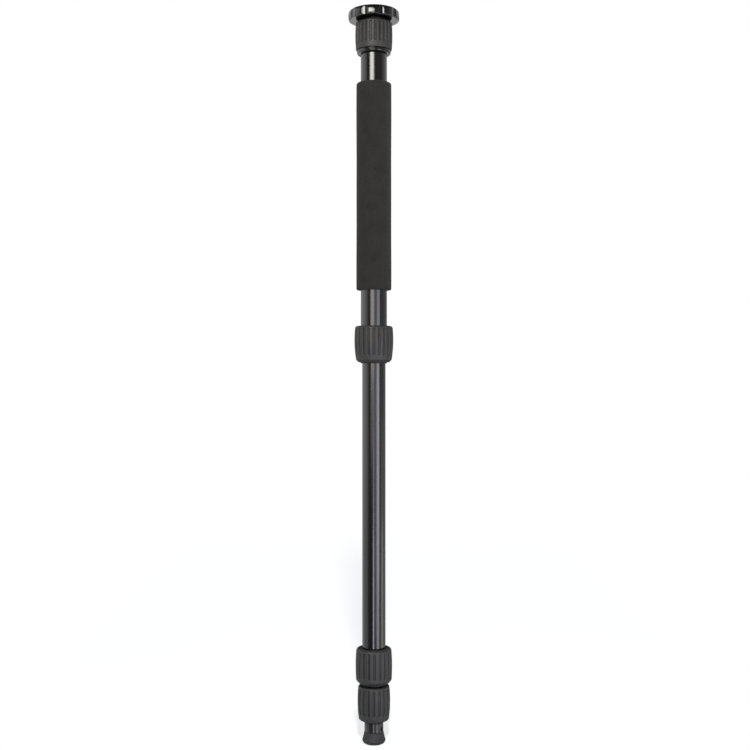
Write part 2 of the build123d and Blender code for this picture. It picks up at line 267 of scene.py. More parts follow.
finish("tube_anodising", lacquer, drawn_roughness, drawn_lines, 0.5 * micrometre,
       Coat_Weight=0.9, Coat_Roughness=0.11)
finish("plate_black", lacquer, turned_roughness, turned_lines, 1.0 * micrometre,
       Coat_Weight=1.0, Coat_Roughness=0.04)
finish("foot_black", worn_lacquer, satin, turned_lines, 2.0 * micrometre,
       Coat_Weight=0.75, Coat_Roughness=0.22)
finish("ferrule_black", lacquer, turned_roughness, turned_lines, 1.5 * micrometre,
       Coat_Weight=0.8, Coat_Roughness=0.07)
finish("hub_black", dust_and_painted_light_black, satin, turned_lines, 2.0 * micrometre,
       Coat_Weight=0.3, Coat_Roughness=0.2)
finish("nut_black", dust_and_painted_light_black, dull, turned_lines, 2.0 * micrometre,
       Specular_IOR_Level=0.3)

# %% [markdown]
# ## Rubber
#
# The collars wear moulded rubber with a fine matt grain. Its grooves are painted darker than its ribs,
# as painted shade in the grooves. A texture can't know where the grooves run, so each ribbed sleeve
# carries an attribute that is 0 on the ribs and 1 in the grooves, and the colour reads it. The foot, the
# pad and the seals are plain rubber and need only the three builders.

# %% Rubber
rib_black = (0.044, 0.0433, 0.043)
# The grooves' tone is painted shade, darker than the ribs.
groove_painted_shade = (0.014, 0.014, 0.0145)


def grip_colour_with_groove_shade(tree):
    """From the ribs' tone to the grooves' painted shade, with 0.8 of the attribute plus 0.5 of a cloud of
    noise.
    """
    groove = tree.node("ShaderNodeAttribute", {"attribute_name": "groove"}, output="Fac")
    cloud = tree.noise(160.0, 4.0)
    tone = tree.span(cloud * 0.5 + groove * 0.8, 0.1, 1.2)
    return tree.blend(tone, rib_black, groove_painted_shade)


def grip_roughness(tree):
    """0.40, plus up to 0.16 of fine noise."""
    return 0.40 + tree.noise(900.0, 2.0) * 0.16


def grip_height(tree):
    """0.6 of a very fine grain and 0.4 of a coarser one."""
    return tree.noise(5200.0, 2.0) * 0.6 + tree.noise(1500.0, 2.0) * 0.4


finish("grip_rubber", grip_colour_with_groove_shade, grip_roughness, grip_height, 60.0 * micrometre)
finish("foot_rubber", mottled((0.030, 0.030, 0.031), (0.042, 0.042, 0.043), 300.0),
       even(0.5, 0.7, 700.0), grain(3000.0), 80.0 * micrometre)
finish("pad_rubber", mottled((0.032, 0.032, 0.032), (0.050, 0.050, 0.050), 400.0),
       even(0.55, 0.75, 900.0), grain(3500.0), 50.0 * micrometre)
finish("seal_rubber", mottled((0.009, 0.009, 0.009), (0.013, 0.013, 0.013), 500.0),
       even(0.35, 0.5, 900.0), grain(4000.0), 20.0 * micrometre)

# %% [markdown]
# ## Foam
#
# The hand grip is closed-cell foam, and its cut skin shows small open cells. A Voronoi texture has this
# look: the distance to the nearest of many scattered points is low in the middle of a cell and high
# between the cells. It goes into the relief and into the colour. Foam has hardly any gloss and scatters
# a little light at a glancing angle as cloth does, which the sheen gives.

# %% Foam
foam_cells = 1500.0
foam_dark = (0.013, 0.0128, 0.012)
foam_pale = (0.028, 0.0273, 0.0255)


def foam_colour(tree):
    """From dark to pale with 0.45 of the cells plus 0.9 of a slow cloud."""
    cells = tree.span(tree.cells(foam_cells), 0.15, 0.75)
    cloud = tree.noise(70.0, 5.0, 0.6)
    return tree.blend(tree.span(cells * 0.45 + cloud * 0.9, 0.2, 1.1), foam_dark, foam_pale)


def foam_roughness(tree):
    """0.86, plus up to 0.12 of noise."""
    return 0.86 + tree.noise(400.0) * 0.12


def foam_height(tree):
    """0.7 of the cells and 0.6 of the lumps under them."""
    return tree.cells(foam_cells) * 0.7 + tree.noise(420.0, 3.0) * 0.6


finish("foam", foam_colour, foam_roughness, foam_height, 220.0 * micrometre,
       Sheen_Weight=0.08, Sheen_Roughness=0.6, Specular_IOR_Level=0.25)

# %% [markdown]
# ## Plastic and steel
#
# The collets, the guide shims and the washer inside the leg are moulded plastic, and the camera stud is
# bright steel. They show little or not at all while the leg is closed, but each has its own tone, so
# that a lock taken apart reads well.

# %% Plastic and steel
finish("collet_plastic", mottled((0.040, 0.040, 0.041), (0.050, 0.050, 0.052), 300.0),
       even(0.38, 0.5, 600.0), grain(2500.0), 20.0 * micrometre)
finish("shim_plastic", mottled((0.065, 0.065, 0.065), (0.085, 0.085, 0.085), 300.0),
       even(0.35, 0.48, 600.0), grain(2500.0), 20.0 * micrometre)
finish("washer_plastic", mottled((0.030, 0.030, 0.030), (0.040, 0.040, 0.040), 400.0),
       even(0.4, 0.5, 600.0), grain(2500.0), 20.0 * micrometre)
finish("stud_steel", mottled((0.48, 0.48, 0.50), (0.60, 0.60, 0.61), 500.0),
       even(0.22, 0.36, 1500.0), grain(6000.0), 10.0 * micrometre, Metallic=1.0)

# %% [markdown]
# ## Finishes on the imported nodes
#
# Pieces whose imported shape is right, such as seals, collets, shims and nuts, stay as they are and only
# get a finish, the one that the record names for them. The ferrules of the three locks are an exception.
# They show no more than their upper ends, above the rubber of a lock, so they get the dull, pale finish
# of the nuts: partly dust, and partly painted light on those shaded tops.

# %% Finishes on the imported nodes
for subpart in frame["record"]["subparts"]:
    materials = frame["nodes"][subpart["node"]].data.materials
    materials.clear()
    materials.append(finishes[subpart["material_slot"]])
# The ferrules take the nuts' paler black, which is partly painted light on their shaded tops.
for letter in "abc":
    frame["nodes"][f"ferrule_{letter}"].data.materials[0] = finishes["nut_black"]
print(len(finishes), "finishes on", len(frame["nodes"]), "nodes")

# %% [markdown]
# ## Skins on a grid
#
# A lathe turns a profile about an axis. The same is done here on a grid: a row of the grid is a point of
# the profile, and a column is an angle. A Screw modifier would turn a profile too, but the points of a
# grid can be moved afterwards as whole arrays, which gives keyways, grooves, scallops and threads. Rows
# of a hollow piece run round its wall and back to the start, so the skin closes on itself. Rows of a
# solid piece start and end near the axis, where a fan of triangles closes the pole.

# %% Skins
millimetre = 0.001


def heights(node):
    """The lowest and highest Z of a CAD node, in millimetres."""
    return [corner.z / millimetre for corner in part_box(node)]


def joined(rings, hollow):
    """Points and faces of a grid of rows, columns and XYZ, with the faces pointing outwards.

    Summed over the quads a, b, c, d, the product a . (b x c + c x d) is six times the volume inside.
    Where it is negative the skin is inside out, and every face is turned over.
    """
    rows, columns = rings.shape[:2]
    index = np.arange(rows * columns).reshape(rows, columns)
    below = index if hollow else index[:-1]
    above = np.roll(index, -1, axis=0) if hollow else index[1:]
    quads = np.stack([below, np.roll(below, -1, 1), np.roll(above, -1, 1), above], -1).reshape(-1, 4)
    points = rings.reshape(-1, 3)
    fans = np.empty((0, 3), int)
    if not hollow:
        pole = np.full(columns, len(points))
        fans = np.vstack([np.stack([pole, np.roll(index[0], -1), index[0]], 1),
                          np.stack([pole + 1, index[-1], np.roll(index[-1], -1)], 1)])
        points = np.vstack([points, rings[0].mean(0), rings[-1].mean(0)])
    a, b, c, d = np.moveaxis(points[quads], 1, 0)
    if np.sum(a * (np.cross(b, c) + np.cross(c, d))) < 0:
        quads, fans = quads[:, ::-1], fans[:, ::-1]
    return points, quads.tolist() + fans.tolist()


def skin(name, rings, hollow, body, slot, replaced, groove=None):
    """Makes a piece of a grid, puts it in its body, gives it its finish and hides the nodes that it
    replaces.
    """
    points, faces = joined(rings, hollow)
    mesh = bpy.data.meshes.new(name)
    mesh.from_pydata((points * millimetre).tolist(), [], faces)
    mesh.polygons.foreach_set("use_smooth", np.ones(len(faces), bool))
    if groove is not None:
        shares = mesh.attributes.new("groove", "FLOAT", "POINT")
        shares.data.foreach_set("value", groove.ravel().astype(np.float32))
    piece = bpy.data.objects.new(name, mesh)
    bpy.context.scene.collection.objects.link(piece)
    mesh.materials.append(finishes[slot])
    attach(piece, body)
    if replaced:
        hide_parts(*replaced)
    print(name, len(faces), "faces")
    return piece


print("the plate lies between the heights", heights("head_plate"))

# %% [markdown]
# ## Profiles
#
# A profile is a list of radii and heights. Real edges are never quite sharp, and a rounded edge catches
# a thin line of light, so each corner of a profile becomes a small curve. An extra point beyond each end
# of the curve keeps the flats flat under smooth shading.

# %% Profiles
corner_rows = 5
corner_hold = 1.6
corner_share = 0.3


def spin(profile, columns):
    """Turns a profile of radius and height about Z: x = r cos a, y = r sin a, z = z."""
    angle = np.linspace(0, 2 * np.pi, columns, endpoint=False)
    radius, height = np.asarray(profile, float).T
    x = radius[:, None] * np.cos(angle)
    y = radius[:, None] * np.sin(angle)
    return np.stack([x, y, np.broadcast_to(height[:, None], x.shape)], axis=-1)


def softened(corners, edge, hollow):
    """Rounds each corner C with (1-t)^2 A + 2t(1-t) C + t^2 B, where A and B are an edge away.

    A hollow profile closes on itself. Of any other, the first and last points stay as they are.
    """
    corner = np.asarray(corners, float)
    before = np.roll(corner, 1, axis=0) - corner
    after = np.roll(corner, -1, axis=0) - corner
    run_before = np.linalg.norm(before, axis=1)[:, None]
    run_after = np.linalg.norm(after, axis=1)[:, None]
    cut = np.minimum(edge, corner_share * np.minimum(run_before, run_after))
    back = before / run_before * cut
    on = after / run_after * cut
    t = np.linspace(0, 1, corner_rows)[:, None, None]
    curve = (1 - t) ** 2 * (corner + back) + 2 * t * (1 - t) * corner + t ** 2 * (corner + on)
    rows = np.concatenate([[corner + back * corner_hold], curve, [corner + on * corner_hold]])
    rows = rows.transpose(1, 0, 2)
    if hollow:
        return rows.reshape(-1, 2)
    return np.concatenate([corner[:1], *rows[1:-1], corner[-1:]])


print("a softened corner has", corner_rows + 2, "points")

# %% [markdown]
# ## The tubes
#
# Each tube is drawn aluminium, a plain cylinder outside. The bores of the three wider tubes have two
# keyways, front and back, in which the plastic guides of the next tube run. They could be cut with a
# Boolean, but on the grid they are only a condition: a point of the bore whose X is within half the
# keyway's width lies deeper by the keyway's depth. At the tube's ends the bore is rounded off, and
# there the keyway follows that round by less than a third, so that it stays clear of the guides.

# %% Tubes
tube_radii = {1: 14.0, 2: 12.5, 3: 11.0, 4: 9.5}
tube_wall = 1.1
tube_edge = 0.25
tube_columns = 288
keyed_tubes = (1, 2, 3)
keyway_width = 3.2
keyway_depth = 0.5
keyway_follow = 0.3


def tube(number, radius):
    """Wall and bore, and in a keyway the radius bore + depth + 0.3 (r - bore)."""
    low, high = heights(f"tube_{number}")
    bore = radius - tube_wall
    corners = [(bore, low), (radius, low), (radius, high), (bore, high)]
    rings = spin(softened(corners, tube_edge, hollow=True), tube_columns)
    if number in keyed_tubes:
        reach = np.hypot(rings[..., 0], rings[..., 1])
        keyway = (np.abs(rings[..., 0]) < keyway_width / 2) & (reach < bore + keyway_depth)
        sunk = bore + keyway_depth + (reach - bore) * keyway_follow
        rings[..., :2] *= (np.where(keyway, sunk, reach) / reach)[..., None]
    body = "upper_leg" if number == 1 else f"section_{number}"
    skin(f"drawn_tube_{number}", rings, True, body, "tube_anodising", [f"tube_{number}"])


for number, radius in tube_radii.items():
    tube(number, radius)

# %% [markdown]
# ## The foam sleeve
#
# The sleeve is a foam pipe pushed over the widest tube, with its ends rounded off. Foam isn't as true as
# metal: it swells and shrinks by a tenth of a millimetre or so. A straight highlight would give a
# perfect cylinder away, so the radius gets three slow waves, one along the leg, one that winds round it
# and one round it. The whole sleeve is drawn in a little, so that its swellings only just reach the
# packed size.

# %% Foam sleeve
foam_low, foam_high = heights("foam_grip")
foam_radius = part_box("foam_grip")[1].x / millimetre
clearance = 0.05
foam_bore = tube_radii[1] + clearance
foam_edge = 1.9
foam_edge_rows = 9
foam_rows = 90
foam_columns = 192
foam_slack = 0.14
foam_wall = 1.0


def rounded_foot(radius, low, size, rows):
    """A quarter circle from the underside to the side: r - s (1 - sin t), z + s (1 - cos t)."""
    turn = np.linspace(0, np.pi / 2, rows)
    return np.stack([radius - size * (1 - np.sin(turn)), low + size * (1 - np.cos(turn))], 1)


def rounded_head(radius, high, size, rows):
    """A quarter circle from the side to the top: r - s (1 - cos t), z - s (1 - sin t)."""
    turn = np.linspace(0, np.pi / 2, rows)
    return np.stack([radius - size * (1 - np.cos(turn)), high - size * (1 - np.sin(turn))], 1)


def foam_profile():
    """Up the outside, with a quarter circle at both ends, and back down the bore."""
    foot = rounded_foot(foam_radius, foam_low, foam_edge, foam_edge_rows)
    head = rounded_head(foam_radius, foam_high, foam_edge, foam_edge_rows)
    side = np.linspace(foam_low + foam_edge, foam_high - foam_edge, foam_rows)[1:-1]
    wall = np.stack([np.full(side.size, foam_radius), side], 1)
    return np.concatenate([foot, wall, head, [(foam_bore, foam_high), (foam_bore, foam_low)]])


def foam_wave(angle, share):
    """0.07 sin(7.3 s + 1.2) + 0.05 sin(17 s + 2 a) + 0.04 sin 3a, at a share s of the length."""
    along = 0.07 * np.sin(7.3 * share + 1.2)
    winding = 0.05 * np.sin(17.0 * share + 2.0 * angle)
    around = 0.04 * np.sin(3 * angle)
    return along + winding + around


rings = spin(foam_profile(), foam_columns)
angle = np.arctan2(rings[..., 1], rings[..., 0])
share = (rings[..., 2] - foam_low) / (foam_high - foam_low)
outside = np.hypot(rings[..., 0], rings[..., 1]) > foam_bore + foam_wall
drawn_in = outside * (foam_slack - foam_wave(angle, share))
rings[..., :2] *= 1 - (drawn_in / foam_radius)[..., None]
foam = skin("foam_sleeve", rings, True, "upper_leg", "foam", ["foam_grip"])

# %% [markdown]
# ## The collars' outline
#
# Each collar, one under the plate and one on each of the three locks, is a rubber barrel over a nut. In
# the table, heel, crown and shoulder are the barrel's radii at its foot, middle and top. The chamfer
# says how far the foot is cut inwards and upwards, and the corner is the round of the top edge. Band and
# rim are the plain bands below and above the ribs. The collar under the plate hangs lower than its nut
# by its drop. Two collars are turned by a few degrees, as a collar can stand at any angle.
#
# The barrel is an arc through three measured points, which are easier to read off than a centre.

# %% Outline of the collars
barrel_rows = 76
chamfer_rows = 7
corner_steps = 11
collars = {
    "coupling": dict(node="coupling_grip", nut="coupling_nut", body="coupling_collar", inner=18.05,
                     heel=19.1, crown=19.85, shoulder=19.3, corner=1.5, chamfer=(0.5, 0.6),
                     ribs=24, band=4.9, rim=2.5, drop=1.4, turn=-3.0),
    "a": dict(node="lock_grip_a", nut="lock_nut_a", body="lock_a_collar", inner=18.05,
              heel=19.0, crown=20.7, shoulder=20.2, corner=2.8, chamfer=(2.6, 2.4),
              ribs=22, band=7.2, rim=2.6, drop=0.0, turn=0.0),
    "b": dict(node="lock_grip_b", nut="lock_nut_b", body="lock_b_collar", inner=16.55,
              heel=19.0, crown=19.5, shoulder=18.9, corner=3.4, chamfer=(3.3, 3.7),
              ribs=20, band=6.6, rim=3.4, drop=0.0, turn=-7.0),
    "c": dict(node="lock_grip_c", nut="lock_nut_c", body="lock_c_collar", inner=15.05,
              heel=16.1, crown=17.4, shoulder=16.7, corner=1.2, chamfer=(1.2, 1.2),
              ribs=18, band=6.0, rim=2.2, drop=0.0, turn=0.0),
}
for letter, collar in collars.items():
    low, high = heights(collar["nut"])
    collar.update(low=low - collar["drop"], high=high, band=collar["band"] + collar["drop"])
    print("collar", letter, "is", round(high - collar["low"], 2), "mm tall")


def circle_through(a, b, c):
    """Centre and radius of a circle. The centre is as far from a as from b and from c."""
    (ax, ay), (bx, by), (cx, cy) = a, b, c
    rows = np.array([[bx - ax, by - ay], [cx - ax, cy - ay]])
    sides = np.array([bx ** 2 - ax ** 2 + by ** 2 - ay ** 2, cx ** 2 - ax ** 2 + cy ** 2 - ay ** 2]) / 2
    centre = np.linalg.solve(rows, sides)
    return centre, np.hypot(*(centre - a))


def collar_profile(collar):
    """Chamfer, barrel r = c + sqrt(R^2 - (z - d)^2), round corner and top, where they clear the nut."""
    low, high = collar["low"], collar["high"]
    inward, upward = collar["chamfer"]
    heel = (collar["heel"], low + upward)
    crown = (collar["crown"], (low + high) / 2)
    shoulder = (collar["shoulder"], high - collar["corner"])
    centre, radius = circle_through(heel, crown, shoulder)
    height = np.linspace(heel[1], shoulder[1], barrel_rows)
    barrel = np.stack([centre[0] + np.sqrt(radius ** 2 - (height - centre[1]) ** 2), height], 1)
    step = np.linspace(0, 1, chamfer_rows)[:, None]
    chamfer = np.array([(heel[0] - inward, low)]) + step * np.array([(inward, upward)])
    corner = rounded_head(collar["shoulder"], high, collar["corner"], corner_steps)
    outside = np.concatenate([chamfer[:-1], barrel, corner[1:]])
    outside = outside[outside[:, 0] > collar["inner"] + 0.1]
    first = [(collar["inner"], outside[0, 1])]
    last = [(collar["inner"], outside[-1, 1])]
    return np.concatenate([first, outside, last])


# %% [markdown]
# ## The ribs
#
# The ribs are what is left between straight grooves that end in a half circle, like slots cut with a
# ball cutter. A groove is a distance: how far a point of the barrel is from the slot's centre line,
# which is a stretch of straight line up the barrel. Where the distance is under half the slot's width
# the surface sinks, and a smooth step over half a millimetre makes the rounded lip of the rib.

# %% Ribbed sleeves
groove_width = 2.5
groove_depth = 0.95
lip_outside = 0.17
lip_run = 0.476
columns_per_rib = 24


def smooth(value):
    """3v^2 - 2v^3 of a value held between 0 and 1."""
    value = np.clip(value, 0, 1)
    return value * value * (3 - 2 * value)


def groove_share(collar, angle, height):
    """1 on a groove's floor and 0 on a rib, from the distance to the nearest slot's centre line."""
    pitch = 2 * np.pi / collar["ribs"]
    turned = angle - math.radians(collar["turn"])
    across = (np.mod(turned, pitch) - pitch / 2) * collar["heel"]
    bottom = collar["low"] + collar["band"] + groove_width / 2
    top = collar["high"] - collar["rim"] - groove_width / 2
    beyond = np.maximum(0, np.maximum(bottom - height, height - top))
    distance = np.hypot(across, beyond)
    return smooth((groove_width / 2 + lip_outside - distance) / lip_run)


def ribbed_sleeve(letter, collar):
    """The barrel's radius less the groove depth times the groove share. The nut's side stays plain."""
    rings = spin(collar_profile(collar), collar["ribs"] * columns_per_rib)
    angle = np.arctan2(rings[..., 1], rings[..., 0])
    radius = np.hypot(rings[..., 0], rings[..., 1])
    groove = groove_share(collar, angle, rings[..., 2])
    groove[[0, -1]] = 0
    rings[..., :2] *= ((radius - groove_depth * groove) / radius)[..., None]
    skin(f"ribbed_sleeve_{letter}", rings, True, collar["body"], "grip_rubber", [collar["node"]], groove)


for letter, collar in collars.items():
    ribbed_sleeve(letter, collar)

# %% [markdown]
# ## The camera plate
#
# The plate is a disc with a rounded foot, a broad round shoulder and a rim between them that is crowned
# by a tenth of a millimetre, which spreads its highlight. In its top are a recess for the pad and a hole
# for the stud, and in its underside is the seat of the hub.

# %% Outline of the plate
plate_low, plate_high = heights("head_plate")
plate_radius = 27.4
rim_crown = 0.1
foot_round = 1.8
shoulder_round = 4.8
round_rows = 22
rim_rows = 15
underside_rows = 16
shoulder_end = 22.3
pad_seat = 20.05
boss_radius = 10.5
stud_hole = 4.8
hub_seat = 10.05
core = 1.0
underside_end = 0.4
pad_depth = 1.0
stud_depth = 5.0
hub_depth = 4.65
plate_edge = 0.15


def plate_profile():
    """Underside, foot, rim r = R - crown * t^2 for t from -1 to 1, shoulder, top, stud hole, hub seat."""
    edge = plate_radius - rim_crown
    under = np.linspace(hub_seat, edge - foot_round - underside_end, underside_rows)
    underside = np.stack([under, np.full(under.size, plate_low)], 1)
    foot = rounded_foot(edge, plate_low, foot_round, round_rows)
    shoulder = rounded_head(edge, plate_high, shoulder_round, round_rows)
    rim_low, rim_high = plate_low + foot_round, plate_high - shoulder_round
    across = np.linspace(-1, 1, rim_rows)[1:-1]
    rim_height = (rim_low + rim_high) / 2 + (rim_high - rim_low) / 2 * across
    rim = np.stack([plate_radius - rim_crown * across ** 2, rim_height], 1)
    recess, seat, root = plate_high - pad_depth, plate_high - stud_depth, plate_low + hub_depth
    top = softened([(shoulder_end, plate_high), (pad_seat, plate_high), (pad_seat, recess),
                    (boss_radius, recess), (boss_radius, plate_high), (stud_hole, plate_high),
                    (stud_hole, seat)], plate_edge, hollow=False)
    inner = [(stud_hole, seat), (core, seat), (core, root), (hub_seat, root)]
    return np.concatenate([underside, foot, rim, shoulder, top[:-1], inner])


print("the plate's outline has", len(plate_profile()), "points")

# %% [markdown]
# ## The finger scallops
#
# The scallops are cut straight down through the rim by a round cutter. A Boolean with ten cylinders
# would leave slivers in the rounded edges. On the grid a scallop is a minimum of two radii: the
# outline's own, and the distance from the axis to the cutter at that angle. A soft minimum breaks the
# edge between the two. The plate can stand at any angle, and a turn of two degrees puts the scallops
# where the photo has them.

# %% Camera plate
scallops = 10
scallop_radius = 7.5
scallop_depth = 1.15
scallop_turn = math.radians(2.0)
scallop_inside = 20.5
no_scallop = plate_radius + 5.0
edge_break = 0.12
plate_columns = 720


def scallop_reach(angle):
    """Radius at which a ray at this angle meets the cutter: d cos a - sqrt(s^2 - (d sin a)^2)."""
    distance = plate_radius - scallop_depth + scallop_radius
    pitch = 2 * np.pi / scallops
    away = np.mod(angle + np.pi / 2 + scallop_turn, pitch) - pitch / 2
    inside = scallop_radius ** 2 - (distance * np.sin(away)) ** 2
    reach = distance * np.cos(away) - np.sqrt(np.maximum(inside, 0))
    return np.where(inside > 0, reach, no_scallop)


def scalloped(rings):
    """Pulls the outer rows in to the soft minimum r - e log(1 + exp((r - s) / e)) of r and reach s."""
    radius = np.hypot(rings[..., 0], rings[..., 1])
    reach = scallop_reach(np.arctan2(rings[..., 1], rings[..., 0]))
    gap = np.clip((reach - radius) / edge_break, -40, 40)
    broken = radius - edge_break * np.log1p(np.exp(-gap))
    rings[..., :2] *= (np.where(radius > scallop_inside, broken, radius) / radius)[..., None]
    return rings


rings = scalloped(spin(plate_profile(), plate_columns))
skin("camera_plate", rings, True, "head", "plate_black", ["head_plate"])

# %% [markdown]
# ## The end ring
#
# A ring is bonded to the top of the widest tube, and what shows of it is the flange under the collar.
# Its lower edge is an arc through three measured points, its wall widens a little on the way up and
# ends just under the rubber, and its underside is recessed beside the tube, which leaves a dark line.

# %% End ring
ring_foot = 16.8
ring_side = 17.95
ring_top = 18.1
ring_edge_height = 1.1
ring_edge_rows = 12
ring_rounding = 0.2
ring_columns = 360
wall_gap = 0.5
recess_radius = 15.9
recess_depth = 0.9
sleeve_radius = 16.4
sleeve_bore = 12.5


def arc(start, through, end, rows):
    """Points on the circle through three points, from the first to the last, at equal angles."""
    centre, radius = circle_through(start, through, end)
    turns = [math.atan2(p[1] - centre[1], p[0] - centre[0]) for p in (start, end)]
    turn = np.linspace(turns[0], turns[1], rows)
    return np.stack([centre[0] + radius * np.cos(turn), centre[1] + radius * np.sin(turn)], 1)


ring_low, sleeve_high = heights("head_ferrule")
tube_stop = heights("tube_1")[1] + clearance
tube_seat = tube_radii[1] + clearance
wall_high = collars["coupling"]["low"] - wall_gap
recess_high = ring_low + recess_depth
edge_middle = (17.6, ring_low + 0.35)
side_low = (ring_side, ring_low + ring_edge_height)
lower_edge = arc((ring_foot, ring_low), edge_middle, side_low, ring_edge_rows)
rest_of_ring = softened([side_low, (ring_top, wall_high), (sleeve_radius, wall_high),
                         (sleeve_radius, sleeve_high), (sleeve_bore, sleeve_high),
                         (sleeve_bore, tube_stop), (tube_seat, tube_stop), (tube_seat, recess_high),
                         (recess_radius, recess_high), (ring_foot, ring_low)], ring_rounding,
                        hollow=False)
ring_profile = np.concatenate([lower_edge[:-1], rest_of_ring[:-1]])
skin("head_end_ring", spin(ring_profile, ring_columns), True, "upper_leg", "ferrule_black",
     ["head_ferrule"])

# %% [markdown]
# ## The rubber foot
#
# The foot is moulded rubber, pushed over a peg of the neck. It swells from the sole to its widest place
# and then narrows in a hollow curve, so its outline is two arcs, each through three measured points.

# %% Rubber foot
foot_high = heights("rubber_foot")[1]
sole_edge = (6.0, 0.0)
swelling = (11.2, 1.5)
widest = (12.5, 4.2)
hollow_flank = (11.15, 8.6)
foot_top = (10.4, foot_high)
foot_rows = 22
foot_columns = 200
socket_radius = 6.05
socket_depth = 6.55
socket_rounding = 0.25


def rubber_foot_profile():
    """Sole, swelling edge and hollow flank, then down the socket for the neck's peg."""
    edge = arc(sole_edge, swelling, widest, foot_rows)
    flank = arc(widest, hollow_flank, foot_top, foot_rows)[1:]
    socket_low = foot_high - socket_depth
    socket = softened([foot_top, (socket_radius, foot_high), (socket_radius, socket_low),
                       (core, socket_low)], socket_rounding, hollow=False)[1:]
    return np.concatenate([[(core, 0.0)], edge, flank, socket])


skin("moulded_foot", spin(rubber_foot_profile(), foot_columns), False, "foot", "foot_rubber",
     ["rubber_foot"])

# %% [markdown]
# ## The neck of the foot
#
# The neck is a turned piece with a chamfer at both ends and a peg below, on which the rubber sits. A
# cross hole for a bar goes through it. A profile can't give a hole across the axis, so a round cutter
# with wider mouths is taken out of the neck with a Boolean, and the result is kept as its mesh.

# %% Neck of the foot
peg_low = heights("foot_shank")[0]
peg_radius = 6.0
neck_low = foot_high + clearance
neck_high = 23.0
neck_radius = 10.15
neck_chamfer = 0.4
neck_rounding = 0.12
neck_face = neck_radius - neck_chamfer
neck_columns = 256
stud_foot = 4.4
hole_height = 16.5
hole_turn = math.radians(58.0)
hole_radius = 2.0
hole_mouth = 2.35
mouth_depth = 0.2
hole_depth = 0.7
hole_columns = 96


def hole_cutter():
    """A rod of the hole's radius with wider ends, laid through the neck along (sin t, -cos t, 0)."""
    past = neck_radius + hole_radius
    mouth_end = neck_radius - mouth_depth
    hole_end = neck_radius - hole_depth
    profile = [(hole_mouth, -past), (hole_mouth, -mouth_end), (hole_radius, -hole_end),
               (hole_radius, hole_end), (hole_mouth, mouth_end), (hole_mouth, past)]
    rings = spin(profile, hole_columns)
    along = np.array([math.sin(hole_turn), -math.cos(hole_turn), 0.0])
    side = np.array([math.cos(hole_turn), math.sin(hole_turn), 0.0])
    up = np.array([0.0, 0.0, 1.0])
    points = rings[..., 2:] * along + rings[..., :1] * side + rings[..., 1:2] * up
    return skin("hole_cutter", points + up * hole_height, False, "foot", "foot_black", [])


neck_corners = [(core, peg_low), (peg_radius, peg_low), (peg_radius, neck_low), (neck_face, neck_low),
                (neck_radius, neck_low + neck_chamfer), (neck_radius, neck_high - neck_chamfer),
                (neck_face, neck_high), (stud_foot, neck_high), (core, neck_high)]
neck_rings = spin(softened(neck_corners, neck_rounding, hollow=False), neck_columns)
neck = skin("foot_neck", neck_rings, False, "foot", "foot_black", ["foot_shank"])
cutter = hole_cutter()
drill = neck.modifiers.new("hole", "BOOLEAN")
drill.object = cutter
drill.solver = "EXACT"
drilled = bpy.data.meshes.new_from_object(neck.evaluated_get(bpy.context.evaluated_depsgraph_get()))
neck.modifiers.clear()
neck.data = drilled
bpy.data.objects.remove(cutter)
print("the drilled neck has", len(drilled.polygons), "faces")

# %% [markdown]
# ## Threads
#
# A thread is a ridge that climbs as it turns. On the grid, the radius at an angle and a height is the
# outer radius less a triangle wave of the height minus the climb at that angle. The wave is flattened at
# the crest and the root, and a chamfer nearly as deep as the ridge breaks both ends of the rod. The
# foot's stud is 3/8 inch with 16 turns to the inch, and the camera's is 1/4 inch with 20.

# %% Threaded studs
inch = 25.4
rows_per_turn = 14
thread_columns = 120
end_gap = 0.02
end_chamfer = 0.8
foot_stud_top = 37.0
stud_height = 4.5


def threaded(name, radius, depth, pitch, low, high, body, slot, replaced):
    """A threaded rod: r = R - depth * flattened triangle((z - pitch * a / 2 pi) / pitch)."""
    height = np.linspace(low, high, int((high - low) / pitch * rows_per_turn) + 2)
    sides = np.stack([np.full(height.size, radius), np.clip(height, low + end_gap, high - end_gap)], 1)
    rings = spin(sides, thread_columns)
    angle = np.arctan2(rings[..., 1], rings[..., 0])
    phase = np.mod((rings[..., 2] - pitch * angle / (2 * np.pi)) / pitch, 1.0)
    triangle = np.abs(phase - 0.5) * 2
    root = np.clip(triangle * 1.25 - 0.12, 0, 1) * depth
    from_end = np.minimum(rings[..., 2] - low, high - rings[..., 2])
    root = np.maximum(root, np.clip(depth * end_chamfer - from_end, 0, None))
    rings[..., :2] *= ((radius - root) / radius)[..., None]
    to_core = [core / radius, core / radius, 1.0]
    first, last = rings[:1] * to_core, rings[-1:] * to_core
    first[..., 2], last[..., 2] = low, high
    skin(name, np.concatenate([first, rings, last]), False, body, slot, replaced)


threaded("foot_stud", inch * 3 / 16, 0.75, inch / 16, neck_high - 0.1, foot_stud_top,
         "foot", "foot_black", [])
threaded("camera_stud_thread", inch / 8, 0.6, inch / 20, plate_high - clearance, plate_high + stud_height,
         "head", "stud_steel", ["camera_stud"])

# %% [markdown]
# ## The rubber pad
#
# The pad on the plate keeps a camera from turning. It is let into the plate, and fine rings are moulded
# into its face, so the height of its face is a cosine of the radius.

# %% Pad on the plate
pad_low, pad_high = heights("head_pad")
pad_inner, pad_outer = 10.55, 20.0
rings_inner, rings_outer = 10.9, 19.6
ring_count = 8
ring_height = 0.16
pad_shoulder = pad_high - 0.3
pad_rows = 90
pad_columns = 240

